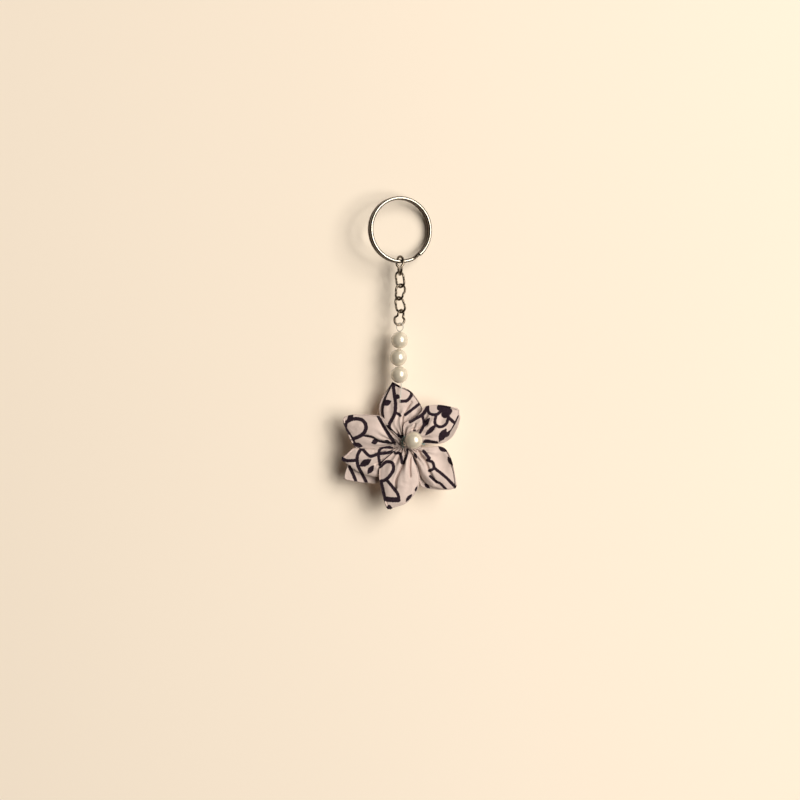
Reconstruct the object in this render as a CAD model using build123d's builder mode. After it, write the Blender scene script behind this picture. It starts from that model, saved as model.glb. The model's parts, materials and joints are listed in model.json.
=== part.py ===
"""Flower charm on a split ring: a ring of two flat coils, a short chain of twisted links, three
strung pearl beads and a gathered cloth flower with a pearl sewn in its middle.

Units are millimetres. The origin is the point inside the top of the split ring where a hook
or nail carries the whole charm. +Z is up, -Y is the front of the flower and +X its right side.
"""

import os
from math import atan2, cos, degrees, radians, sin, sqrt

from build123d import *

# ---- driving dimensions ------------------------------------------------------------------
# split ring: two coils of flat wire, turned about the vertical as it hangs
RING_OUTER_R = 15.0
RING_WIRE_RADIAL = 1.5
RING_WIRE_AXIAL = 1.95
RING_WIRE_ROUNDING = 0.68
RING_COIL_GAP = 0.09
RING_YAW = 22.0
RING_END_ANGLE = -50.0  # cut end of the front coil, counted from the right
RING_STEP_ARC = 14.0  # over which the wire steps from the front coil to the back one
RING_END_ARC = 2.4  # gap at each cut end

# chain, from the top down: length, half width to the middle of the wire, wire radius, the yaw
# of the top and of the bottom arc from +X, and the roll of the whole link to its own side
CLEARANCE = 0.05  # between wires that hang in each other
ROLL_SLACK = 0.22  # more of it where a rolled link hangs
CHAIN = (
    (9.3, 3.2, 0.55, RING_YAW - 84, -78, 0),
    (7.97, 2.4, 0.5, 44, -44, -8),
    (7.97, 2.4, 0.5, 34, -48, 12),
    (7.97, 2.4, 0.5, 42, -36, -14),
    (7.97, 2.4, 0.5, 60, 22, 14),
)

# doubled nylon line and the strung pearls
LINE_R = 0.225
LINE_SPACING = 0.42  # between the middles of the two strands
LOOP_R = 1.85
LOOP_NECK_R = 0.3
LOOP_YAW = -36.0
NECK_SINK = 0.15  # how far the loop's neck sinks into the first bead
PEARL_R = 3.85
PEARL_PITCH = 7.85
PEARL_HOLE_R = 0.62
PEARL_RIM = 0.1
BEAD_TILTS = (-1.5, -6.5, 13.0)  # of each bead's line from the vertical, towards +X
LINE_END_GAP = 0.12

# cloth flower
FLOWER_CENTRE = Vector(1.8, 0, -109.5)
PETAL_BASE_R = 2.9
# name: direction in degrees from +X, reach from the middle, width, depth of base and of tip
PETALS = {
    "petal_top": (100.0, 27.1, 17.0, 0.3, 0.8),
    "petal_upper_left": (158.5, 29.5, 13.0, 0.4, -0.8),
    "petal_lower_left": (203.5, 30.5, 12.4, 0.4, 1.4),
    "petal_bottom": (257.5, 30.3, 16.0, 0.4, -0.8),
    "petal_lower_right": (320.0, 30.6, 17.0, 0.5, 0.8),
    "petal_upper_right": (31.5, 28.6, 17.0, 0.5, 1.0),
}
# along each petal: share of its reach, share of its width, thickness
PETAL_STATIONS = ((0.0, 0.13, 3.0), (0.22, 0.46, 5.2), (0.55, 1.0, 6.4), (0.8, 0.62, 4.4), (1.0, 0.08, 1.0))

# the pearl in the middle and the threads, placed from the middle of the flower
CENTRE_PEARL_R = 4.0
CENTRE_PEARL_SPOT = Vector(4.3, -6.9, 1.35)
CENTRE_PEARL_AXIS = Vector(0.928, 0, -0.371)
THREAD_R = 0.2
THREAD_OVERHANG = 1.1  # of the sewn loop past the pearl on each side
THREAD_CENTRE = Vector(0.3, -1.8, 0.9)
THREAD_BACK_CENTRE = Vector(0.3, 4.4, 0.3)
THREAD_BACK_RIGHT = Vector(9.4, 4.4, -0.4)
THREAD_BEND_R = 0.7
KNOT_R = 0.55
KNOT_ANGLE = -71.0
TAIL_BEND = Vector(-1.3, -2.0, 24.0)
TAIL_STITCH = Vector(-1.9, -3.7, 18.8)
TAIL_END = Vector(-1.9, -1.6, 18.2)
TAIL_BEND_R = 0.8
TAIL_KNOT_R = 0.5

# ---- places that follow from the driving dimensions ----------------------------------------
UP = Vector(0, 0, 1)
RING_MID_R = RING_OUTER_R - RING_WIRE_RADIAL / 2
RING_INNER_R = RING_OUTER_R - RING_WIRE_RADIAL
RING_CENTRE = Vector(0, 0, -RING_INNER_R)
RING_AXIS = Vector(sin(radians(RING_YAW)), -cos(radians(RING_YAW)), 0)
RING_SIDE = Vector(cos(radians(RING_YAW)), sin(radians(RING_YAW)), 0)
COIL_OFFSET = (RING_WIRE_AXIAL + RING_COIL_GAP) / 2

# the first link rests with the inside of its top arc on both edges of the ring's band
band_half = COIL_OFFSET + RING_WIRE_AXIAL / 2
first_length, first_half_width, first_wire_r = CHAIN[0][:3]
first_arc_r = first_half_width - first_wire_r
first_arc_z = -2 * RING_INNER_R + CLEARANCE - sqrt(first_arc_r**2 - band_half**2)

top_wires = [first_arc_z + first_half_width]
bottom_wires = [top_wires[0] - first_length + 2 * first_wire_r]
for above, link in zip(CHAIN, CHAIN[1:]):
    length, _, wire_r = link[:3]
    top_wires.append(bottom_wires[-1] + above[2] + CLEARANCE + ROLL_SLACK + wire_r)
    bottom_wires.append(top_wires[-1] - length + 2 * wire_r)

# the beads' line hangs in the last link; a knot is where it passes from one bead to the next
strand_dirs = [Vector(sin(radians(tilt)), 0, -cos(radians(tilt))) for tilt in BEAD_TILTS]
loop_top = Vector(0, 0, bottom_wires[-1] + CHAIN[-1][2] + CLEARANCE + ROLL_SLACK + LINE_R)
neck_x = LINE_SPACING / 2 + LOOP_NECK_R
neck_drop = LOOP_R + sqrt((LOOP_R + LOOP_NECK_R) ** 2 - neck_x**2)
knots = [loop_top + strand_dirs[0] * (neck_drop - NECK_SINK)]
for strand_dir in strand_dirs:
    knots.append(knots[-1] + strand_dir * PEARL_PITCH)


# ---- shapes used more than once --------------------------------------------------------------
def heading(yaw):
    """Horizontal unit vector at this yaw."""
    return Vector(cos(radians(yaw)), sin(radians(yaw)), 0)


def wire_along(spans, radius):
    """Sweep a round wire along each span, inside the caller's BuildPart."""
    for span in spans:
        with BuildSketch(Plane(origin=span @ 0, z_dir=span % 0)) as section:
            Circle(radius)
        sweep(section.sketch, path=span)


def ring_section(angle, axial):
    """Plane across the ring's wire, at this angle round the ring and this far to its front."""
    radial = RING_SIDE * cos(radians(angle)) + UP * sin(radians(angle))
    origin = RING_CENTRE + radial * RING_MID_R + RING_AXIS * axial
    return Plane(origin=origin, x_dir=radial, z_dir=RING_AXIS.cross(radial))


def twisted_link(top_z, bottom_z, half_width, wire_r, top_yaw, bottom_yaw):
    """A chain link: a half-round arc at each end, at its own yaw, and two twisted sides."""
    top_side = heading(top_yaw) * half_width
    bottom_side = heading(bottom_yaw) * half_width
    top_shoulder = UP * (top_z - half_width)
    bottom_shoulder = UP * (bottom_z + half_width)
    with BuildPart() as link:
        with BuildLine() as path:
            ThreePointArc(top_shoulder + top_side, UP * top_z, top_shoulder - top_side)
            Spline(top_shoulder - top_side, bottom_shoulder - bottom_side, tangents=[-UP, -UP])
            ThreePointArc(bottom_shoulder - bottom_side, UP * bottom_z, bottom_shoulder + bottom_side)
            Spline(bottom_shoulder + bottom_side, top_shoulder + top_side, tangents=[UP, UP])
        wire_along(path.edges(), wire_r)
    return link.part


def bead(centre, axis, radius):
    """A round bead with a hole through it along the axis, its two rims eased."""
    with BuildPart(Plane(origin=centre, z_dir=axis)) as pearl:
        Sphere(radius)
        Cylinder(PEARL_HOLE_R, 2.2 * radius, mode=Mode.SUBTRACT)
        chamfer(pearl.edges().filter_by(lambda edge: edge.is_closed), PEARL_RIM)
    return pearl.part


def line_pair(start, end):
    """Two strands of line side by side, from start to end."""
    run = end - start
    with BuildPart() as pair:
        with BuildSketch(Plane(origin=start, x_dir=heading(LOOP_YAW), z_dir=run)):
            with GridLocations(LINE_SPACING, 0, 2, 1):
                Circle(LINE_R)
        extrude(amount=run.length)
    return pair.part


def folded_petal(direction, reach, width, base_depth, tip_depth):
    """The closed outer shape of one folded cloth petal, thin at its base and its tip."""
    along = Vector(cos(radians(direction)), 0, sin(radians(direction)))
    across = Vector(-along.Z, 0, along.X)
    with BuildPart() as petal:
        for share, width_share, thickness in PETAL_STATIONS:
            depth = base_depth + (tip_depth - base_depth) * share
            spot = FLOWER_CENTRE + along * (PETAL_BASE_R + (reach - PETAL_BASE_R) * share)
            with BuildSketch(Plane(origin=spot + Vector(0, depth, 0), x_dir=across, z_dir=along)):
                Ellipse(width * width_share / 2, thickness / 2)
        loft()
    return petal.part


def write(part, name):
    """Label one finished piece and write it to its own STEP file."""
    part.label = name
    export_step(part, f"parts/{name}.step")


os.makedirs("parts", exist_ok=True)

# ---- split ring ------------------------------------------------------------------------------
step_start = RING_END_ANGLE - RING_END_ARC - RING_STEP_ARC
back_start = RING_END_ANGLE - RING_END_ARC
ring_line = Axis(RING_CENTRE, RING_AXIS)
with BuildPart() as split_ring:
    with BuildSketch(ring_section(RING_END_ANGLE, COIL_OFFSET)):
        RectangleRounded(RING_WIRE_RADIAL, RING_WIRE_AXIAL, RING_WIRE_ROUNDING)
    revolve(axis=ring_line, revolution_arc=360 - RING_END_ARC - RING_STEP_ARC)
    with BuildSketch(ring_section(back_start, -COIL_OFFSET)):
        RectangleRounded(RING_WIRE_RADIAL, RING_WIRE_AXIAL, RING_WIRE_ROUNDING)
    revolve(axis=ring_line, revolution_arc=360 - RING_END_ARC - RING_STEP_ARC)
    for share in (0, 0.25, 0.5, 0.75, 1):
        ease = share * share * (3 - 2 * share)
        with BuildSketch(ring_section(step_start + RING_STEP_ARC * share, COIL_OFFSET * (1 - 2 * ease))):
            RectangleRounded(RING_WIRE_RADIAL, RING_WIRE_AXIAL, RING_WIRE_ROUNDING)
    loft()
write(split_ring.part, "split_ring")

# ---- chain -----------------------------------------------------------------------------------
for number, link in enumerate(CHAIN):
    _, half_width, wire_r, top_yaw, bottom_yaw, roll = link
    chain_link = twisted_link(top_wires[number], bottom_wires[number], half_width, wire_r, top_yaw, bottom_yaw)
    middle = Vector(0, 0, (top_wires[number] + bottom_wires[number]) / 2)
    write(chain_link.rotate(Axis(middle, (0, 1, 0)), roll), f"chain_link_{number + 1}")

# ---- nylon line --------------------------------------------------------------------------------
# the upper piece loops through the last link and both its strands run down through the first bead
loop_up = strand_dirs[0] * -1
loop_normal = heading(LOOP_YAW).cross(loop_up)
loop_plane = Plane(origin=loop_top, x_dir=loop_up.cross(loop_normal), z_dir=loop_normal)
strand_end = (knots[1] - loop_top).length - LINE_END_GAP
neck_turn = degrees(atan2(neck_drop - LOOP_R, neck_x))
with BuildPart() as bead_line_upper:
    with BuildLine(loop_plane) as loop_path:
        for side in (-1, 1):
            Line((side * LINE_SPACING / 2, -strand_end), (side * LINE_SPACING / 2, -neck_drop))
            CenterArc((side * neck_x, -neck_drop), LOOP_NECK_R, 90 + 90 * side, -side * neck_turn)
        CenterArc((0, -LOOP_R), LOOP_R, -neck_turn, 180 + 2 * neck_turn)
    wire_along(loop_path.edges(), LINE_R)
write(bead_line_upper.part, "bead_line_upper")

for name, start, end, strand_dir in (
    ("bead_line_middle", knots[1], knots[2], strand_dirs[1]),
    ("bead_line_lower", knots[2], knots[3], strand_dirs[2]),
):
    gap = strand_dir * LINE_END_GAP
    write(line_pair(start + gap, end - gap), name)

with BuildPart() as line_tail:
    with BuildLine() as tail_path:
        FilletPolyline(
            knots[3] + strand_dirs[2] * LINE_END_GAP,
            FLOWER_CENTRE + TAIL_BEND,
            FLOWER_CENTRE + TAIL_STITCH,
            FLOWER_CENTRE + TAIL_END,
            radius=TAIL_BEND_R,
        )
    wire_along(tail_path.edges(), LINE_R)
    lower_run = tail_path.edges().sort_by(Axis.Z)[1:].filter_by(GeomType.LINE)[0]
    with Locations(Plane(origin=lower_run @ 0.6, z_dir=lower_run % 0.6)):
        Sphere(TAIL_KNOT_R)
write(line_tail.part, "line_tail")

# ---- strung pearls -----------------------------------------------------------------------------
for number, strand_dir in enumerate(strand_dirs):
    pearl_centre = (knots[number] + knots[number + 1]) * 0.5
    write(bead(pearl_centre, strand_dir, PEARL_R), f"pearl_{number + 1}")

# ---- flower ------------------------------------------------------------------------------------
for name, (direction, reach, width, base_depth, tip_depth) in PETALS.items():
    write(folded_petal(direction, reach, width, base_depth, tip_depth), name)

centre_pearl_at = FLOWER_CENTRE + CENTRE_PEARL_SPOT
write(bead(centre_pearl_at, CENTRE_PEARL_AXIS, CENTRE_PEARL_R), "centre_pearl")

# a sewn loop: forward through the middle, along the pearl's hole, back between two petals
thread_reach = CENTRE_PEARL_AXIS * (CENTRE_PEARL_R + THREAD_OVERHANG)
with BuildPart() as pearl_thread:
    with BuildLine() as thread_path:
        FilletPolyline(
            FLOWER_CENTRE + THREAD_BACK_CENTRE,
            FLOWER_CENTRE + THREAD_CENTRE,
            centre_pearl_at - thread_reach,
            centre_pearl_at + thread_reach,
            FLOWER_CENTRE + THREAD_BACK_RIGHT,
            radius=THREAD_BEND_R,
            close=True,
        )
    wire_along(thread_path.edges(), THREAD_R)
write(pearl_thread.part, "pearl_thread")

# the running thread that draws the six petal bases together, with its knot
with BuildPart(Plane(origin=FLOWER_CENTRE, x_dir=(1, 0, 0), z_dir=(0, -1, 0))) as gathering_thread:
    Torus(PETAL_BASE_R - THREAD_R, THREAD_R)
    with PolarLocations(PETAL_BASE_R - KNOT_R - THREAD_R, 1, start_angle=KNOT_ANGLE):
        Sphere(KNOT_R)
write(gathering_thread.part, "gathering_thread")
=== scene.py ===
"""Flower charm on a split ring, hanging close in front of a cream wall. Metres, in the CAD frame.

Lengths written with MM are millimetres. The flower's outlines and print are (x, z) pairs in
millimetres from the middle of the flower, seen from the front.
"""
import json
import math

import bpy
import numpy as np
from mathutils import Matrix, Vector


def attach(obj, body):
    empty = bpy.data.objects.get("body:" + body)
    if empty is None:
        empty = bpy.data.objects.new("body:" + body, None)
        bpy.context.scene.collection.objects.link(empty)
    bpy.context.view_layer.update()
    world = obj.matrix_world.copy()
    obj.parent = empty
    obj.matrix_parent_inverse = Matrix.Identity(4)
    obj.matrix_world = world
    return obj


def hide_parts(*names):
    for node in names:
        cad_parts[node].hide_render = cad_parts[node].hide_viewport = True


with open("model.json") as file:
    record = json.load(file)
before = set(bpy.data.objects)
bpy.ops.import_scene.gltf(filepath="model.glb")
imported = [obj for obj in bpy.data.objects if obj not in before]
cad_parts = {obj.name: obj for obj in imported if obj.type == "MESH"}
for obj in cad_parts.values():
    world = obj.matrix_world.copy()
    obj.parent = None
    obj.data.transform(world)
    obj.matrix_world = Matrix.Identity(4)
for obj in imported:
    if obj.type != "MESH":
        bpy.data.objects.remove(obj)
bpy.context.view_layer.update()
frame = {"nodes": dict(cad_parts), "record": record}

MM = 0.001

# ---- camera, wall and light ---------------------------------------------------------------
VIEW_WIDTH = 0.36  # at the charm
VIEW_HEIGHT = -0.0901  # of the view's middle
CAMERA_DISTANCE = 1.1
SENSOR = 36.0
SUBJECT = Vector((0, 0, VIEW_HEIGHT))

WALL_SIZE = 3.0
WALL_CENTRE = (0, 10.2 * MM, -70 * MM)
WALL_TILT = 2.3  # degrees by which the wall's top leans towards the charm

LIGHT_COLOUR = (1.0, 0.955, 0.88)
# name: azimuth (0 in front, 90 to the right), elevation, distance, (width, height), power
LIGHTS = {
    "key": (35, 8, 2.6, (1.8, 3.2), 102.0),
    "key_core": (38, 6, 2.5, (0.4, 0.5), 8.0),
    "back_fill": (200, 20, 2.2, (1.2, 1.2), 12.0),
}
ROOM_BRIGHT_WAY = (0.55, 0.35, 0.75)  # the room is brightest in this direction
ROOM_STRENGTH = 0.2

# ---- tones: the darker and the lighter colour that each surface varies between --------------
RING_TONES = ((0.23, 0.21, 0.175), (0.31, 0.285, 0.25))
# painted shade: the dark colour taken by the ring's faces that turn away from RING_AXIS, standing in
# for the dark room they reflect
RING_PAINTED_SHADE = (0.085, 0.062, 0.044)
CHAIN_TONES = ((0.075, 0.055, 0.038), (0.24, 0.2, 0.155))
PEARL_TONES = ((0.6, 0.525, 0.41), (0.7, 0.63, 0.51))
NYLON_TONES = ((0.6, 0.57, 0.5), (0.78, 0.75, 0.68))
THREAD_TONES = ((0.05, 0.13, 0.13), (0.2, 0.36, 0.33))
COTTON_TONES = ((0.56, 0.455, 0.41), (0.65, 0.53, 0.48))
WEAVE_TONES = ((0.72, 0.7, 0.7), (1.0, 1.0, 1.0))
INK_TONES = ((0.012, 0.006, 0.011), (0.03, 0.016, 0.024))
WALL_TONES = ((0.865, 0.76, 0.64), (0.885, 0.78, 0.66))
ROOM_TONES = ((0.1, 0.085, 0.07), (0.7, 0.66, 0.6))
RING_AXIS = (0.375, -0.927, 0.0)  # faces square to it keep their plain tone; the others get painted shade, a dark colour standing in for the dark room they reflect
STEEL_ROUGHNESS = 0.22

# ---- flower ---------------------------------------------------------------------------------
GATHER = Vector((1.8, 0, -109.5)) * MM  # middle of the flower
CLOTH_THICKNESS = 0.2
LINING_GAP = 0.28
ROWS = 120  # along a petal
COLUMNS = 72  # across each of its two leaves

# A leaf swells as a half sine to these powers, across and along the petal
SWELL_ACROSS = 0.62
SWELL_ALONG = 0.75
SWELL_START = 0.03  # share of the half sine left off at the gather and at the tip
TIP_SWELL = 0.62  # share of the swell that reaches the tip
LEAF_GAP = 0.9  # kept between a petal's two leaves
LEAF_SHIFT = 1.2  # the most that a front leaf moves to keep it

PLEATS = 4.5  # across each leaf, at the gather
PLEAT_TURNS = (0.4, 1.9)  # where the pleats start on the front and the rear leaf, in radians
PLEAT_DEPTH = 0.55
PLEAT_REACH = 0.42  # share of the petal's length that they fade over

SPAN_STEPS = 24  # from one point of a smooth line to the next
STROKE_STEPS = 5  # the same, where the distance to the line is measured
NO_INK = 9.0  # distance that stands for cloth far from any stroke
INK_SPREAD = 0.2  # how far the ink bled past each stroke
DROP_FULLNESS = 0.7  # a drop's width is a half sine to this power

# Each petal is one square folded double. Its cloth runs from the open lip, over the front leaf
# to the fold, round it and back over the rear leaf to the rear lip. lip, fold and rear_lip are
# the edges from the gather to the tip. crown is how far the two leaves swell, edge_depth how
# far back the lip and the fold lie and gap the opening between the lips.
PETALS = {
    "petal_top": dict(
        lip=[(-0.9, 1.6), (-7.6, 7.3), (-9.9, 13.8), (-8.9, 19.6), (-5.6, 26.1), (-4.95, 27.2)],
        fold=[
            (0.9, 1.6), (2.2, 6.8), (5.6, 11.2), (8.4, 15.0), (3.7, 22.6), (-1.8, 25.4),
            (-4.7, 26.8),
        ],
        rear_lip=[(-1.2, 1.6), (-8.6, 7.2), (-11.1, 13.6), (-10.6, 18.8), (-6.6, 25.4), (-5.1, 27.0)],
        crown=(2.5, 2.6), edge_depth=(0.9, 1.2), gap=1.3, depth=(0.0, 0.6),
    ),
    "petal_upper_right": dict(
        lip=[(1.5, 0.3), (9.5, 0.6), (15.6, 0.4), (19.2, 2.7), (22.2, 8.2), (24.0, 12.4), (24.6, 15.0)],
        fold=[
            (0.6, 1.1), (-0.3, 5.2), (0.3, 8.9), (4.2, 11.0), (7.4, 13.6), (9.6, 16.5),
            (16.1, 17.1), (24.4, 15.2),
        ],
        rear_lip=[(1.6, 0.1), (9.8, -0.2), (16.8, -0.2), (21.4, 2.4), (24.2, 7.0), (25.5, 11.6)],
        crown=(3.0, 2.6), edge_depth=(0.2, -1.9), gap=1.6, depth=(0.0, 0.8),
    ),
    "petal_lower_right": dict(
        lip=[
            (0.9, -1.2), (3.9, -5.4), (6.1, -10.4), (8.0, -15.6), (12.2, -19.5),
            (18.8, -20.7), (23.3, -19.9),
        ],
        fold=[(1.4, -0.4), (8.5, -2.0), (16.0, -1.5), (19.5, -3.6), (21.9, -9.5), (23.5, -19.4)],
        rear_lip=[
            (0.8, -1.4), (4.2, -7.0), (6.5, -14.6), (7.6, -19.4), (12.0, -20.7),
            (18.8, -21.1), (23.3, -20.2),
        ],
        crown=(3.1, 2.4), edge_depth=(0.6, 0.2), gap=1.6, depth=(0.0, 0.6),
    ),
    "petal_bottom": dict(
        lip=[
            (0.7, -1.5), (3.8, -5.6), (5.8, -11.8), (6.5, -16.0), (5.4, -21.0),
            (1.0, -26.4), (-5.0, -28.7), (-6.5, -29.5),
        ],
        fold=[(-0.8, -1.4), (-6.6, -5.8), (-10.8, -10.6), (-10.6, -19.0), (-8.2, -27.6), (-6.8, -29.5)],
        rear_lip=[
            (0.8, -1.5), (4.2, -5.6), (6.4, -11.8), (7.0, -16.0), (5.9, -21.2),
            (1.4, -26.8), (-4.8, -29.0), (-6.5, -29.6),
        ],
        crown=(3.3, 2.4), edge_depth=(-0.1, -1.4), gap=1.0, depth=(0.0, -0.6),
    ),
    "petal_lower_left": dict(
        lip=[
            (-1.0, -1.1), (-6.5, -8.6), (-10.9, -14.7), (-16.2, -14.5), (-21.3, -12.6),
            (-25.2, -9.8), (-27.9, -7.2),
        ],
        fold=[
            (-1.4, -0.6), (-9.0, -1.7), (-14.5, -2.6), (-19.0, -2.4), (-22.6, -2.3),
            (-25.4, -4.8), (-27.9, -6.9),
        ],
        rear_lip=[
            (-0.9, -1.3), (-6.2, -10.0), (-10.9, -17.6), (-17.0, -18.0), (-22.6, -17.3),
            (-26.8, -16.3), (-27.1, -15.4), (-25.5, -11.0), (-27.6, -7.4),
        ],
        crown=(2.8, 2.0), edge_depth=(0.9, -0.6), gap=2.6, depth=(0.1, 0.9),
    ),
    "petal_upper_left": dict(
        lip=[
            (-1.2, -0.4), (-2.8, 1.0), (-5.5, 4.0), (-8.1, 7.6), (-10.1, 11.0),
            (-14.6, 12.2), (-23.0, 12.4), (-27.1, 11.3),
        ],
        fold=[
            (-1.4, 0.2), (-8.0, -1.8), (-14.0, -3.3), (-19.4, -2.6), (-22.7, -0.9),
            (-26.3, 6.9), (-27.3, 10.7),
        ],
        rear_lip=[(-0.9, 1.0), (-4.6, 5.4), (-9.6, 11.6), (-14.6, 12.7), (-23.2, 12.8), (-27.2, 11.4)],
        crown=(2.5, 2.2), edge_depth=(-0.2, 0.9), gap=0.9, depth=(0.0, -0.4),
    ),
}

# Creases, ridges and dents of the front leaf: depth into the cloth (negative for a ridge),
# width, and the line that each follows
CREASES = {
    "petal_top": [
        (1.5, 0.55, [(0.2, 3.1), (-0.7, 8.7), (-0.5, 12.2), (1.0, 15.2), (3.2, 18.4)]),
        (1.9, 2.2, [(1.8, 3.0), (3.4, 9.0)]),
        (0.7, 0.8, [(-2.2, 3.4), (-3.4, 8.6), (-2.6, 13.0)]),
        (-0.5, 1.1, [(-1.4, 4.4), (-1.6, 9.0), (-0.4, 14.0)]),
        (0.4, 1.6, [(-7.2, 9.0), (-6.4, 17.0)]),
    ],
    "petal_upper_right": [
        (1.3, 0.6, [(3.4, 3.6), (7.6, 8.0), (10.4, 12.6)]),
        (1.1, 0.45, [(4.0, 6.0), (5.0, 8.6)]),
        (1.2, 1.0, [(8.4, 12.0), (9.6, 8.6)]),
        (-0.5, 1.0, [(3.6, 2.8), (9.4, 6.4), (13.4, 11.0)]),
        (0.8, 0.7, [(4.8, 2.2), (10.4, 4.6), (14.6, 8.0)]),
        (1.0, 1.6, [(16.4, 9.4), (17.4, 11.8)]),
        (0.5, 0.9, [(6.0, 1.0), (12.0, 1.9), (17.0, 2.6)]),
    ],
    "petal_lower_right": [
        (-1.1, 1.7, [(3.2, -3.8), (6.6, -8.6), (9.4, -14.0), (13.0, -18.6)]),
        (1.6, 0.55, [(6.6, -3.8), (9.6, -8.4), (11.6, -13.4), (14.4, -17.8)]),
        (2.4, 3.2, [(16.4, -6.0), (18.6, -9.4)]),
        (-0.6, 1.2, [(7.0, -2.4), (13.0, -3.6), (17.6, -4.0)]),
    ],
    "petal_bottom": [
        (1.9, 0.5, [(0.6, -5.6), (-0.4, -9.2), (-2.4, -13.2), (-3.7, -16.7), (-3.9, -20.5)]),
        (-0.7, 1.3, [(1.0, -9.5), (-0.6, -14.0), (-1.7, -18.5)]),
        (1.7, 0.42, [(3.2, -4.6), (2.6, -10.2), (2.8, -14.9)]),
        (-0.6, 1.2, [(1.0, -5.0), (1.2, -10.4), (0.6, -16.6)]),
        (0.7, 0.8, [(-2.4, -4.8), (-3.6, -8.6)]),
    ],
    "petal_lower_left": [
        (1.1, 0.5, [(-3.4, -2.2), (-9.0, -3.2), (-13.4, -3.4)]),
        (1.1, 0.55, [(-3.0, -3.2), (-7.4, -6.4), (-12.6, -9.4)]),
        (-0.5, 1.1, [(-3.2, -2.8), (-9.0, -5.0), (-15.0, -6.6)]),
        (0.5, 1.4, [(-15.0, -11.6), (-21.0, -8.4)]),
    ],
    "petal_upper_left": [
        (1.5, 0.5, [(-2.6, -0.4), (-11.6, 1.1), (-17.6, 3.4)]),
        (1.0, 0.4, [(-3.6, 0.5), (-6.4, 3.5), (-9.0, 7.0), (-10.6, 9.6)]),
        (-0.7, 0.8, [(-2.2, 1.0), (-5.8, 4.8), (-9.8, 10.2)]),
        (0.8, 0.55, [(-3.2, 0.8), (-7.2, 4.8), (-11.2, 10.0)]),
        (-0.4, 1.6, [(-6.0, 1.6), (-13.0, 5.0), (-20.0, 7.6)]),
    ],
}

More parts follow.
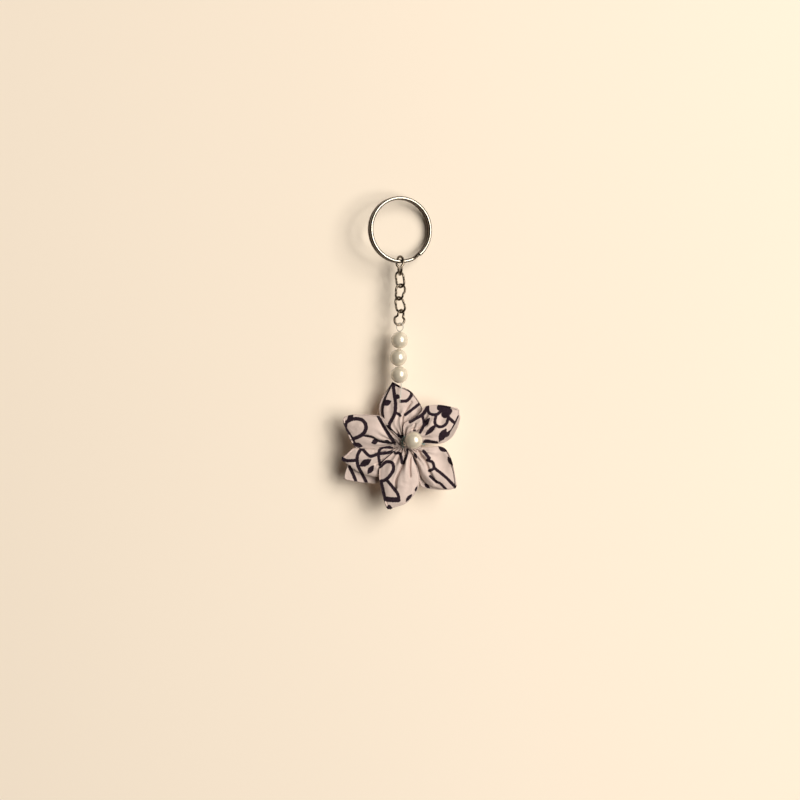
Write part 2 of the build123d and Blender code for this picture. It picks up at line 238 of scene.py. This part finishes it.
# Block print: lines of even width and drops that swell in their middle, as the kind of stroke,
# its half width and the line that it follows
PRINT = {
    "petal_top": [
        ("line", 0.62, [
            (-5.0, 27.4), (-4.4, 22.2), (-3.8, 17.4), (-4.3, 12.9), (-6.7, 7.4),
            (-3.0, 3.3), (0.6, 3.0),
        ]),
        ("line", 0.55, [(-0.8, 25.9), (2.2, 24.4), (3.4, 22.0), (1.4, 19.2), (-1.5, 18.8)]),
        ("line", 0.6, [(-5.0, 26.9), (-2.2, 26.2)]),
        ("drop", 0.9, [(-4.4, 21.2), (-1.8, 20.6)]),
        ("line", 0.45, [(-4.0, 13.6), (-2.6, 13.2), (-1.7, 12.3)]),
        ("line", 0.5, [(6.8, 17.6), (3.8, 15.2), (0.6, 12.8)]),
        ("drop", 1.2, [(-9.4, 17.5), (-6.0, 18.8)]),
        ("line", 0.24, [(-5.8, 26.0), (-8.2, 20.8), (-9.5, 15.6), (-9.2, 11.2)]),
        ("line", 0.34, [(-9.0, 10.4), (-7.4, 7.6)]),
    ],
    "petal_upper_right": [
        ("line", 1.5, [(16.4, 16.0), (20.0, 14.8), (18.4, 12.9)]),
        ("line", 0.5, [(14.4, 12.9), (13.9, 9.0), (16.1, 7.3), (18.9, 8.6), (20.0, 12.0)]),
        ("line", 0.5, [(10.6, 16.6), (11.2, 13.6), (14.4, 12.8), (16.6, 14.4)]),
        ("line", 0.62, [(10.6, 16.4), (8.6, 13.2), (5.6, 11.3), (2.8, 9.7)]),
        ("line", 0.45, [(8.2, 12.6), (8.9, 8.4), (7.2, 4.8)]),
        ("drop", 0.75, [(11.4, 11.2), (8.8, 7.4)]),
        ("drop", 0.9, [(14.2, 8.0), (9.8, 3.8)]),
        ("drop", 1.5, [(18.8, 6.2), (16.0, 1.0)]),
        ("drop", 0.6, [(20.6, 5.6), (19.2, 2.8)]),
        ("line", 0.55, [(20.0, 11.5), (22.6, 9.2)]),
        ("line", 0.15, [(24.5, 12.4), (22.5, 8.2), (19.6, 3.2)]),
        ("drop", 1.3, [(8.6, -0.6), (11.4, 1.2)]),
        ("line", 0.7, [(10.4, 0.9), (14.6, 0.0)]),
        ("drop", 0.5, [(5.2, 6.0), (4.0, 4.6)]),
    ],
    "petal_lower_right": [
        ("line", 0.52, [(13.3, -11.0), (18.3, -14.9), (23.4, -20.0)]),
        ("line", 0.5, [(10.4, -7.6), (12.8, -8.6), (13.4, -11.2), (11.4, -12.4)]),
        ("line", 0.55, [(8.8, -3.6), (11.4, -6.8)]),
        ("line", 0.42, [(11.8, -14.9), (14.2, -17.1), (16.4, -18.2), (18.8, -20.6)]),
        ("drop", 1.1, [(15.6, -1.4), (19.2, -3.6)]),
        ("drop", 1.0, [(19.8, -6.4), (22.2, -9.8)]),
        ("drop", 0.5, [(4.6, -4.4), (5.6, -6.6)]),
        ("drop", 0.7, [(9.4, -18.4), (11.4, -20.6)]),
    ],
    "petal_bottom": [
        ("line", 0.58, [
            (-10.8, -10.6), (-8.0, -8.4), (-5.2, -8.9), (-4.8, -11.8), (-6.4, -14.6),
            (-8.4, -16.4), (-10.8, -17.2),
        ]),
        ("line", 0.55, [(-8.0, -16.2), (-5.0, -19.8), (-2.8, -22.8), (-2.3, -25.6)]),
        ("line", 1.0, [(-9.4, -24.8), (-6.0, -25.3), (-2.8, -25.4)]),
        ("line", 0.62, [(-10.4, -17.2), (-9.4, -21.2), (-8.8, -25.4)]),
        ("drop", 0.8, [(1.0, -26.2), (3.4, -23.2)]),
        ("drop", 1.1, [(-7.8, -28.8), (-5.6, -29.0)]),
        ("drop", 0.6, [(5.2, -21.8), (6.0, -19.6)]),
        ("line", 0.5, [(-4.0, -4.4), (-1.7, -4.8), (-0.9, -8.8)]),
        ("line", 0.35, [(1.6, -2.8), (1.2, -5.6), (-0.2, -9.0)]),
        ("drop", 0.55, [(4.0, -4.6), (4.9, -7.0), (5.8, -9.8)]),
    ],
    "petal_lower_left": [
        ("line", 0.58, [(-18.8, -1.6), (-20.9, -5.6), (-20.8, -9.8), (-19.0, -13.6), (-17.0, -17.8)]),
        ("line", 0.55, [(-27.8, -6.8), (-25.6, -7.9), (-21.0, -7.7)]),
        ("line", 0.55, [(-19.0, -2.2), (-15.4, -5.8), (-11.4, -4.8), (-5.0, -4.0)]),
        ("line", 0.5, [(-5.4, -1.9), (-9.8, -2.0), (-11.4, -4.6), (-10.9, -9.6)]),
        ("drop", 1.3, [(-19.8, -10.2), (-15.0, -7.5)]),
        ("drop", 1.0, [(-16.2, -13.6), (-13.8, -10.2)]),
        ("line", 0.4, [(-4.4, -4.4), (-6.8, -6.2), (-10.0, -8.8)]),
        ("line", 0.58, [(-24.6, -10.6), (-23.0, -14.0), (-21.6, -17.6)]),
    ],
    "petal_upper_left": [
        ("line", 0.66, [
            (-26.4, 7.0), (-25.8, 9.5), (-22.6, 10.9), (-18.8, 10.4), (-17.1, 7.9),
            (-17.6, 5.2), (-19.8, 3.2), (-23.2, 1.8),
        ]),
        ("line", 0.42, [(-26.5, 7.2), (-23.0, 1.6), (-21.8, -1.2)]),
        ("drop", 0.9, [(-25.4, 10.0), (-23.0, 12.9)]),
        ("line", 0.6, [(-11.6, 12.2), (-8.4, 6.4), (-4.3, 0.0)]),
        ("line", 0.3, [(-18.4, 3.4), (-14.2, 2.8), (-11.4, 1.0), (-5.2, -0.2)]),
        ("drop", 1.0, [(-14.4, 0.1), (-11.8, 1.2)]),
        ("drop", 1.0, [(-23.0, -0.4), (-18.8, -1.4)]),
        ("drop", 0.4, [(-8.4, 1.2), (-6.6, 0.7)]),
    ],
}
# the rear leaves carry the print of another petal, turned round to them
REAR_PRINT = {
    "petal_top": "petal_bottom",
    "petal_upper_right": "petal_lower_left",
    "petal_lower_right": "petal_upper_left",
    "petal_bottom": "petal_top",
    "petal_lower_left": "petal_upper_right",
    "petal_upper_left": "petal_lower_right",
}

# teal stitches over the gather: start and end, and how far in front
STITCHES = [
    ((-1.0, 2.0), (-0.1, -1.9), 3.2),
    ((-0.4, 2.3), (-0.6, -1.6), 3.5),
    ((-1.5, 0.9), (0.5, -0.9), 3.7),
    ((0.1, 1.8), (-1.2, -1.0), 3.3),
]
STITCH_R = 0.16 * MM
STITCH_SINK = 2.0  # of its ends into the cloth
STITCH_BOW = 0.25

# ---- node helpers ---------------------------------------------------------------------------
def set_inputs(tree, node, values):
    """Link or set a node's inputs, each called by its name or its number."""
    for key, value in values.items():
        if isinstance(value, bpy.types.NodeSocket):
            tree.links.new(value, node.inputs[key])
        else:
            node.inputs[key].default_value = value


def node_adder(tree):
    """A function that adds a node with these inputs and settings to the tree."""
    def add(kind, inputs=None, **settings):
        node = tree.nodes.new(kind)
        for setting, value in settings.items():
            setattr(node, setting, value)
        set_inputs(tree, node, inputs or {})
        return node

    return add


def new_material(name):
    """A material, a function that adds nodes to it and one that fills its shader's sockets."""
    material = bpy.data.materials.new(name)
    material.use_nodes = True
    tree = material.node_tree

    def fill(values):
        set_inputs(tree, tree.nodes["Principled BSDF"], values)

    return material, node_adder(tree), fill


def millimetres(add):
    """Object coordinates in millimetres."""
    place = add("ShaderNodeTexCoord").outputs["Object"]
    scaled = add("ShaderNodeVectorMath", {"Vector": place, "Scale": 1 / MM}, operation="SCALE")
    return scaled.outputs[0]


def noise(add, place, scale, detail, roughness=0.5):
    """Cloudy noise, as one value."""
    inputs = {"Vector": place, "Scale": scale, "Detail": detail, "Roughness": roughness}
    return add("ShaderNodeTexNoise", inputs).outputs["Fac"]


def bands(add, place, direction, scale, distortion, detail):
    """Wavy bands, as one value."""
    inputs = {"Vector": place, "Scale": scale, "Distortion": distortion, "Detail": detail}
    return add("ShaderNodeTexWave", inputs, wave_type="BANDS", bands_direction=direction).outputs["Fac"]


def ramp(add, value, start, end, tones):
    """Colour that goes from the first tone where the value is start to the second at end."""
    node = add("ShaderNodeValToRGB", {"Fac": value})
    for element, place, tone in zip(node.color_ramp.elements, (start, end), tones):
        element.position, element.color = place, (*tone, 1)
    return node.outputs["Color"]


def rescaled(add, value, low, high):
    """A value from 0 to 1, brought to this range."""
    return add("ShaderNodeMapRange", {"Value": value, "To Min": low, "To Max": high}).outputs[0]


def smooth_step(add, value, low, high):
    """0 below low, 1 above high and smooth between them."""
    inputs = {"Value": value, "From Min": low, "From Max": high}
    return add("ShaderNodeMapRange", inputs, interpolation_type="SMOOTHSTEP").outputs[0]


def calculated(add, operation, *values):
    """The result of a maths operation on the values."""
    return add("ShaderNodeMath", dict(enumerate(values)), operation=operation).outputs[0]


def mixed(add, share, first, second, blend="MIX"):
    """Mix of two colours; share is the second one's part."""
    colours = {0: share, 6: first, 7: second}
    return add("ShaderNodeMix", colours, data_type="RGBA", blend_type=blend).outputs[2]


def bump(add, height, strength, distance, below=None):
    """A bumped normal, laid over the normal below if there is one."""
    inputs = {"Height": height, "Strength": strength, "Distance": distance}
    if below:
        inputs["Normal"] = below
    return add("ShaderNodeBump", inputs).outputs[0]


# ---- materials --------------------------------------------------------------------------------
def steel_material(name, tones, scratch, shade_axis=None, painted_shade=None):
    """Plated steel, uneven in tone and gloss; faces turned away from the given axis get painted shade,
    a darker base colour standing in for dark reflections.
    """
    material, add, fill = new_material(name)
    place = millimetres(add)
    fine = noise(add, place, 9.0, 3.0)
    tone = ramp(add, noise(add, place, 0.9, 5.0), 0.3, 0.7, tones)
    if shade_axis:
        normal = add("ShaderNodeTexCoord").outputs["Normal"]
        along = add("ShaderNodeVectorMath", {0: normal, 1: shade_axis}, operation="DOT_PRODUCT")
        facing = calculated(add, "ABSOLUTE", along.outputs["Value"])
        # painted shade: faces turned away from the axis are darkened towards the shade colour, standing
        # in for dark reflections
        tone = mixed(add, smooth_step(add, facing, 0.6, 0.97), (*painted_shade, 1), tone)
    fill({
        "Base Color": tone,
        "Roughness": rescaled(add, fine, 0.7 * STEEL_ROUGHNESS, 1.4 * STEEL_ROUGHNESS),
        "Normal": bump(add, fine, scratch, 0.02 * MM),
        "Metallic": 1.0,
    })
    return material


def pearl_material():
    """Ivory lacquered bead with a clear coat and a faint mottle."""
    material, add, fill = new_material("pearl_lacquer")
    place = millimetres(add)
    fill({
        "Base Color": ramp(add, noise(add, place, 0.45, 3.0), 0.3, 0.7, PEARL_TONES),
        "Normal": bump(add, noise(add, place, 2.2, 2.0), 0.12, 0.03 * MM),
        "Metallic": 0.2,
        "Roughness": 0.3,
        "Specular IOR Level": 0.8,
        "Coat Weight": 0.9,
        "Coat Roughness": 0.2,
        "Sheen Weight": 0.25,
        "Sheen Roughness": 0.3,
    })
    return material


def nylon_material():
    """Clear drawn line with a faint lengthwise grain."""
    material, add, fill = new_material("nylon_line")
    grain = noise(add, millimetres(add), 3.0, 2.0)
    fill({
        "Base Color": ramp(add, grain, 0.3, 0.7, NYLON_TONES),
        "Normal": bump(add, grain, 0.2, 0.02 * MM),
        "Roughness": 0.16,
        "Transmission Weight": 0.25,
        "IOR": 1.53,
    })
    return material


def thread_material():
    """Spun two-ply sewing thread: dark teal, with its twist as bump and tone."""
    material, add, fill = new_material("teal_thread")
    twist = bands(add, millimetres(add), "DIAGONAL", 0.9, 1.5, 2.0)
    fill({
        "Base Color": ramp(add, twist, 0.1, 0.9, THREAD_TONES),
        "Normal": bump(add, twist, 0.6, 0.05 * MM),
        "Roughness": 0.75,
        "Sheen Weight": 0.3,
    })
    return material


def cotton_material():
    """Plain-weave cotton with a block print; ink is the print's signed distance, in millimetres."""
    material, add, fill = new_material("printed_cotton")
    place = millimetres(add)
    cloth_place = add("ShaderNodeAttribute", attribute_name="cloth_place").outputs["Vector"]
    ink = add("ShaderNodeAttribute", attribute_name="ink").outputs["Fac"]

    warp, weft = (bands(add, cloth_place, way, 0.95, 0.6, 1.0) for way in ("X", "Y"))
    weave = calculated(add, "MULTIPLY", warp, weft)
    cloth = ramp(add, noise(add, place, 0.16, 3.0), 0.35, 0.65, COTTON_TONES)
    woven = mixed(add, 0.16, cloth, ramp(add, weave, 0.0, 0.6, WEAVE_TONES), "MULTIPLY")

    ragged = noise(add, place, 1.5, 4.0, 0.6)
    edge = calculated(add, "ADD", ink, rescaled(add, ragged, -0.3, 0.3))
    bare = smooth_step(add, edge, -0.12, 0.1)
    inked = ramp(add, ragged, 0.35, 0.7, INK_TONES)

    rumple = bump(add, noise(add, place, 0.32, 4.0), 0.6, 0.7 * MM)
    fill({
        "Base Color": mixed(add, bare, inked, woven),
        "Normal": bump(add, weave, 0.35, 0.05 * MM, rumple),
        "Roughness": 0.88,
        "Specular IOR Level": 0.15,
        "Sheen Weight": 0.05,
        "Sheen Roughness": 0.45,
    })
    return material


def wall_material():
    """Cream painted wall, clear from behind and to light that comes from behind."""
    material, add, fill = new_material("cream_wall")
    place = add("ShaderNodeTexCoord").outputs["Object"]
    fill({
        "Base Color": ramp(add, noise(add, place, 2.0, 2.0), 0.3, 0.7, WALL_TONES),
        "Roughness": 0.9,
        "Specular IOR Level": 0.1,
    })
    behind = add("ShaderNodeNewGeometry").outputs["Backfacing"]
    shadow = add("ShaderNodeLightPath").outputs["Is Shadow Ray"]
    tree = material.node_tree
    paint = tree.nodes["Principled BSDF"].outputs[0]
    clear = add("ShaderNodeBsdfTransparent").outputs[0]
    share = calculated(add, "MAXIMUM", behind, shadow)
    surface = add("ShaderNodeMixShader", {"Fac": share, 1: paint, 2: clear}).outputs[0]
    set_inputs(tree, tree.nodes["Material Output"], {"Surface": surface})
    return material


# ---- cloth ------------------------------------------------------------------------------------
def through(points, count):
    """Smooth curve through the points, as count places spaced evenly along it."""
    points = np.array(points, float)
    padded = np.vstack([2 * points[0] - points[1], points, 2 * points[-1] - points[-2]])
    t = np.linspace(0, 1, SPAN_STEPS, endpoint=False)[:, None]
    spans = []
    for p0, p1, p2, p3 in zip(padded, padded[1:], padded[2:], padded[3:]):
        bend = (p2 - p0, 2 * p0 - 5 * p1 + 4 * p2 - p3, 3 * p1 - p0 - 3 * p2 + p3)
        spans.append(p1 + 0.5 * (bend[0] * t + bend[1] * t**2 + bend[2] * t**3))
    dense = np.vstack(spans + [points[-1:]])
    run = np.concatenate([[0], np.cumsum(np.linalg.norm(np.diff(dense, axis=0), axis=1))])
    at = np.linspace(0, run[-1], count)
    return np.column_stack([np.interp(at, run, dense[:, 0]), np.interp(at, run, dense[:, 1])])


def distance_to(places, points):
    """How far each place is from the smooth line through the points, and where along it."""
    line = through(points, STROKE_STEPS * len(points))
    start, run = line[:-1], np.diff(line, axis=0)
    away = places[:, None, :] - start[None]
    share = np.clip((away * run).sum(2) / (run * run).sum(1), 0, 1)
    gap = np.linalg.norm(away - share[:, :, None] * run[None], axis=2)
    nearest = gap.argmin(1)
    row = np.arange(len(places))
    return gap[row, nearest], (nearest + share[row, nearest]) / len(run)


def half_sine(share, power):
    """Rises from 0 to 1 in the middle and falls again; a low power makes it fuller."""
    return np.sin(math.pi * share) ** power


def ink_distance(places, strokes):
    """Signed distance to the print's edge: negative inside a stroke."""
    signed = np.full(len(places), NO_INK)
    for kind, half_width, points in strokes:
        gap, along = distance_to(places, points)
        swell = half_sine(np.clip(along, 0.02, 0.98), DROP_FULLNESS) if kind == "drop" else 1.0
        signed = np.minimum(signed, gap - half_width * swell)
    return signed - INK_SPREAD


def print_on(leaf, name):
    """A petal's print on a leaf, as a signed distance at each point of its grid."""
    return ink_distance(leaf.reshape(-1, 2), PRINT[name]).reshape(ROWS, COLUMNS)


def heading_of(name):
    """Direction of a petal's tip from the gather, in radians."""
    x, z = PETALS[name]["fold"][-1]
    return math.atan2(z, x)


def petal_surface(name):
    """The folded cloth as a grid, with the print on its outer and on its inner layer."""
    shape = PETALS[name]
    lip, fold, rear_lip = (through(shape[key], ROWS) for key in ("lip", "fold", "rear_lip"))
    along = np.linspace(0, 1, ROWS)[:, None]
    # columns crowd towards the edges, where the cloth turns
    across = (1 - np.cos(np.linspace(0, math.pi, COLUMNS))) / 2
    across = (across + np.linspace(0, 1, COLUMNS)) / 2
    fade = TIP_SWELL + (1 - TIP_SWELL) * (1 - along)
    reach = SWELL_START + (1 - 2 * SWELL_START) * along
    swell = half_sine(across, SWELL_ACROSS) * half_sine(reach, SWELL_ALONG) * fade
    pleats = np.exp(-((along / PLEAT_REACH) ** 2)) * PLEAT_DEPTH * half_sine(across, 0.5)
    lip_depth, fold_depth = shape["edge_depth"]
    base_depth, tip_depth = shape["depth"]
    edges = (lip_depth * (1 - across) + fold_depth * across) * half_sine(along, 0.5)
    middle = base_depth * (1 - along) + tip_depth * along + edges
    opening = shape["gap"] / 2 * (1 - across) ** 3 * half_sine(along, 0.6)

    def leaf(edge, crown, side, turn):
        """One leaf's places and their depths; side is -1 in front and 1 behind."""
        share = across[None, :, None]
        places = edge[:, None, :] * (1 - share) + fold[:, None, :] * share
        ripple = np.cos(2 * math.pi * PLEATS * across + turn) * pleats
        return places, middle + side * (opening + crown * swell) + ripple

    front, front_y = leaf(lip, shape["crown"][0], -1, PLEAT_TURNS[0])
    rear, rear_y = leaf(rear_lip, shape["crown"][1], 1, PLEAT_TURNS[1])
    for depth, width, points in CREASES[name]:
        gap, _ = distance_to(front.reshape(-1, 2), points)
        crease = np.exp(-((gap / width) ** 2)).reshape(ROWS, COLUMNS)
        front_y = front_y + depth * crease * half_sine(across, 0.5)
    # the front leaf never sinks into the rear one
    front_y = np.minimum(front_y, np.maximum(rear_y - LEAF_GAP, front_y - LEAF_SHIFT))

    turn = heading_of(REAR_PRINT[name]) - heading_of(name)
    c, s = math.cos(turn), math.sin(turn)
    ink_front, ink_within = print_on(front, name), print_on(rear, name)
    ink_rear = print_on(rear @ np.array([[c, s], [-s, c]]), REAR_PRINT[name])

    # over the front from lip to fold, then back over the rear
    back = (slice(None), slice(-2, None, -1))
    grid = np.empty((ROWS, 2 * COLUMNS - 1, 3))
    grid[..., 0] = np.hstack([front[..., 0], rear[..., 0][back]])
    grid[..., 1] = np.hstack([front_y, rear_y[back]])
    grid[..., 2] = np.hstack([front[..., 1], rear[..., 1][back]])
    ink = np.hstack([ink_front, ink_rear[back]])
    inner_ink = np.hstack([ink_front, ink_within[back]])
    # rows run so that the cloth's outer side is the same for every petal
    if np.cross(front[-1, 0] - front[0, 0], fold[ROWS // 2] - lip[ROWS // 2]) < 0:
        grid, ink, inner_ink = grid[::-1], ink[::-1], inner_ink[::-1]
    return grid, ink, inner_ink


def weave_coordinates(grid):
    """Distance along the warp and the weft, which lie at 45 degrees to the square's middle."""
    def run(axis):
        step = np.linalg.norm(np.diff(grid, axis=axis), axis=2)
        pad = [(0, 0), (0, 0)]
        pad[axis] = (1, 0)
        return np.cumsum(np.pad(step, pad), axis=axis)

    up, over = run(0), run(1)
    over = over - over[:, [over.shape[1] // 2]]
    half = math.sqrt(0.5)
    return np.stack([(up + over) * half, (up - over) * half, np.zeros_like(up)], axis=2)


def shell(grid, inward, thickness):
    """Closed shell along a grid, of this thickness and this far inward of it."""
    rows, columns = grid.shape[:2]
    normal = np.cross(np.gradient(grid, axis=0), np.gradient(grid, axis=1))
    normal /= np.maximum(np.linalg.norm(normal, axis=2, keepdims=True), 1e-6)
    skins = [grid - normal * inward, grid - normal * (inward + thickness)]
    vertices = np.concatenate([skin.reshape(-1, 3) for skin in skins])
    number = np.arange(rows * columns).reshape(rows, columns)
    lower = number + rows * columns
    upper_quads = [number[:-1, :-1], number[:-1, 1:], number[1:, 1:], number[1:, :-1]]
    lower_quads = [lower[:-1, :-1], lower[1:, :-1], lower[1:, 1:], lower[:-1, 1:]]
    quads = [np.stack(corners, 2).reshape(-1, 4) for corners in (upper_quads, lower_quads)]
    rim = np.concatenate([number[0, :-1], number[:-1, -1], number[-1, :0:-1], number[:0:-1, 0]])
    following = np.roll(rim, -1)
    quads.append(np.stack([following, rim, rim + rows * columns, following + rows * columns], 1))
    return vertices, np.concatenate(quads)


def petal_piece(name, material):
    """One petal: the printed outer cloth and the same square's inner layer, as one piece."""
    grid, ink, inner_ink = petal_surface(name)
    place = weave_coordinates(grid)
    sparse = (slice(None, None, 2), slice(None, None, 2))
    layers = [
        (shell(grid, 0, CLOTH_THICKNESS), ink, place),
        (shell(grid[sparse], LINING_GAP, CLOTH_THICKNESS), inner_ink[sparse], place[sparse]),
    ]
    vertices, faces, inks, places = [], [], [], []
    for (points, quads), layer_ink, layer_place in layers:
        faces.append(quads + sum(len(v) for v in vertices))
        vertices.append(points)
        inks += [layer_ink.ravel()] * 2
        places += [layer_place.reshape(-1, 3)] * 2
    mesh = bpy.data.meshes.new(name + "_cloth")
    spots = np.concatenate(vertices) * MM + np.array(GATHER)
    mesh.from_pydata(spots.tolist(), [], np.concatenate(faces).tolist())
    mesh.attributes.new("ink", "FLOAT", "POINT").data.foreach_set("value", np.concatenate(inks))
    cloth_place = mesh.attributes.new("cloth_place", "FLOAT_VECTOR", "POINT")
    cloth_place.data.foreach_set("vector", np.concatenate(places).ravel())
    mesh.shade_smooth()
    mesh.materials.append(material)
    piece = bpy.data.objects.new(name + "_cloth", mesh)
    bpy.context.scene.collection.objects.link(piece)
    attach(piece, "flower")
    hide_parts(name)


def stitch_piece(number, start, end, depth, material):
    """One thread laid over the gather, bowed forward in its middle, with its ends in the cloth."""
    curve = bpy.data.curves.new(f"gather_stitch_{number}", "CURVE")
    curve.dimensions = "3D"
    curve.bevel_depth = STITCH_R
    curve.bevel_resolution = 4
    curve.use_fill_caps = True
    spline = curve.splines.new("NURBS")
    spots = [
        (*start, depth - STITCH_SINK),
        (*start, depth),
        ((start[0] + end[0]) / 2, (start[1] + end[1]) / 2, depth + STITCH_BOW),
        (*end, depth),
        (*end, depth - STITCH_SINK),
    ]
    spline.points.add(len(spots) - 1)
    for point, (x, z, forward) in zip(spline.points, spots):
        point.co = (*(GATHER + Vector((x, -forward, z)) * MM), 1)
    spline.order_u = 3
    spline.use_endpoint_u = True
    curve.materials.append(material)
    piece = bpy.data.objects.new(f"gather_stitch_{number}", curve)
    bpy.context.scene.collection.objects.link(piece)
    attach(piece, "flower")


# ---- stage ------------------------------------------------------------------------------------
def aim(thing, target):
    """Turn a light or camera towards a point."""
    thing.rotation_euler = (target - thing.location).to_track_quat("-Z", "Y").to_euler()


def set_camera():
    """A camera level with the subject, in front of it."""
    camera = bpy.data.objects.new("camera", bpy.data.cameras.new("camera"))
    bpy.context.scene.collection.objects.link(camera)
    camera.data.sensor_width = SENSOR
    camera.data.lens = SENSOR * CAMERA_DISTANCE / VIEW_WIDTH
    camera.location = (0, -CAMERA_DISTANCE, VIEW_HEIGHT)
    aim(camera, SUBJECT)
    bpy.context.scene.camera = camera
    bpy.context.scene.view_settings.view_transform = "Standard"


def build_wall():
    """The wall that the charm hangs in front of."""
    turn = (math.radians(90 + WALL_TILT), 0, 0)
    bpy.ops.mesh.primitive_plane_add(size=WALL_SIZE, location=WALL_CENTRE, rotation=turn)
    wall = bpy.context.active_object
    wall.name = "wall"
    wall.data.materials.append(wall_material())


def softbox(name, azimuth, elevation, distance, size, power):
    """An oval soft light on the subject, this wide and high."""
    data = bpy.data.lights.new(name, "AREA")
    data.shape, data.energy, data.color = "ELLIPSE", power, LIGHT_COLOUR
    data.size, data.size_y = size
    light = bpy.data.objects.new(name, data)
    bpy.context.scene.collection.objects.link(light)
    a, e = math.radians(azimuth), math.radians(elevation)
    way = Vector((math.sin(a) * math.cos(e), -math.cos(a) * math.cos(e), math.sin(e)))
    light.location = SUBJECT + way * distance
    aim(light, SUBJECT)


def set_world():
    """A dim room: warm grey, darker towards the left and below."""
    world = bpy.data.worlds.new("room")
    bpy.context.scene.world = world
    world.use_nodes = True
    tree = world.node_tree
    add = node_adder(tree)
    place = add("ShaderNodeTexCoord").outputs["Generated"]
    toward = add("ShaderNodeVectorMath", {0: place, 1: ROOM_BRIGHT_WAY}, operation="DOT_PRODUCT")
    tone = ramp(add, toward.outputs["Value"], 0.0, 0.9, ROOM_TONES)
    set_inputs(tree, tree.nodes["Background"], {"Color": tone, "Strength": ROOM_STRENGTH})


# ---- build ------------------------------------------------------------------------------------
set_camera()
build_wall()
for name, settings in LIGHTS.items():
    softbox(name, *settings)
set_world()

node_materials = {
    "ring_steel": steel_material("ring_nickel", RING_TONES, 0.15, RING_AXIS, RING_PAINTED_SHADE),
    "chain_steel": steel_material("chain_nickel", CHAIN_TONES, 0.3),
    "nylon": nylon_material(),
    "pearl": pearl_material(),
    "sewing_thread": thread_material(),
}
for subpart in frame["record"]["subparts"]:
    material = node_materials.get(subpart["material_slot"])
    if material:
        for slot in frame["nodes"][subpart["node"]].material_slots:
            slot.material = material

cotton = cotton_material()
for name in PETALS:
    petal_piece(name, cotton)
for number, (start, end, depth) in enumerate(STITCHES, start=1):
    stitch_piece(number, start, end, depth, node_materials["sewing_thread"])
